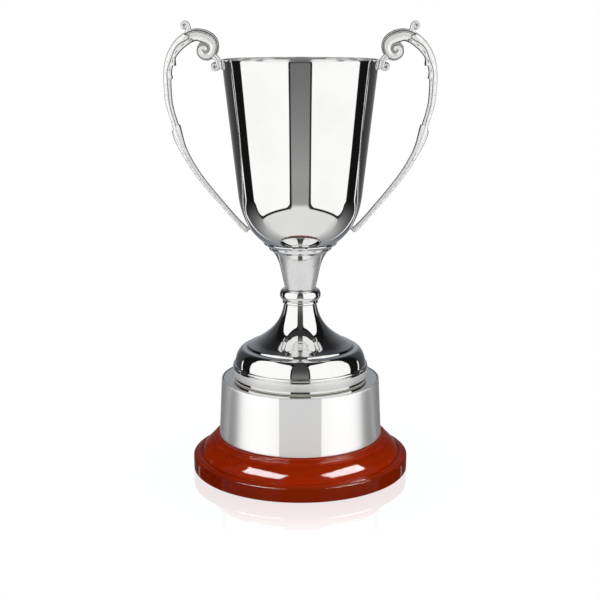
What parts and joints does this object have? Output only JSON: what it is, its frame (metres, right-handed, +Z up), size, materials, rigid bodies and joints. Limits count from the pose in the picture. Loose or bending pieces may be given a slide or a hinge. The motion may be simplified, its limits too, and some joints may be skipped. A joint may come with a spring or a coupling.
{
  "type": "two-handled cup trophy",
  "caption": "Tall tapered presentation cup with scrolled side handles, a knopped stem and stepped foot, on a round wooden plinth with a metal band.",
  "frame": {"origin": "centre of the felt underside, on the resting plane", "axes": "+Z up through the cup's axis; handles along +X and -X; the blank panel of the plinth band faces -Y"},
  "size_m": [0.1892, 0.156, 0.32],
  "materials": {
    "bowl_nickel": "mirror-polished nickel plate on spun brass",
    "stem_nickel": "mirror-polished nickel plate",
    "knop_nickel": "mirror-polished nickel plate",
    "foot_nickel": "mirror-polished nickel plate on spun brass",
    "top_plate_nickel": "polished nickel plate",
    "band_nickel": "polished nickel plate with a blank satin panel at the front",
    "handle_silver": "silver-plated casting, bright on the raised edges, frosted in the grounds",
    "fixing_steel": "zinc plated",
    "boss_brass": "turned",
    "fibre_washer": "vulcanised fibre",
    "gasket_card": "card",
    "plinth_rosewood": "high-gloss lacquer over red-brown stained hardwood",
    "base_felt": "felt"
  },
  "bodies": {
    "root": {"bowl": "bowl_nickel", "bowl_boss": "boss_brass", "upper_stem": "stem_nickel", "knop": "knop_nickel", "foot": "foot_nickel", "foot_gasket": "gasket_card", "plinth_top_plate": "top_plate_nickel", "plinth_band": "band_nickel", "plinth": "plinth_rosewood", "base_felt": "base_felt", "tie_rod": "fixing_steel", "base_washer": "fixing_steel", "spring_washer": "fixing_steel", "base_nut": "fixing_steel", "left_handle": "handle_silver", "right_handle": "handle_silver", "left_upper_screw": "fixing_steel", "left_upper_washer": "fibre_washer", "left_lower_screw": "fixing_steel", "left_lower_washer": "fibre_washer", "right_upper_screw": "fixing_steel", "right_upper_washer": "fibre_washer", "right_lower_screw": "fixing_steel", "right_lower_washer": "fibre_washer"}
  },
  "joints": []
}
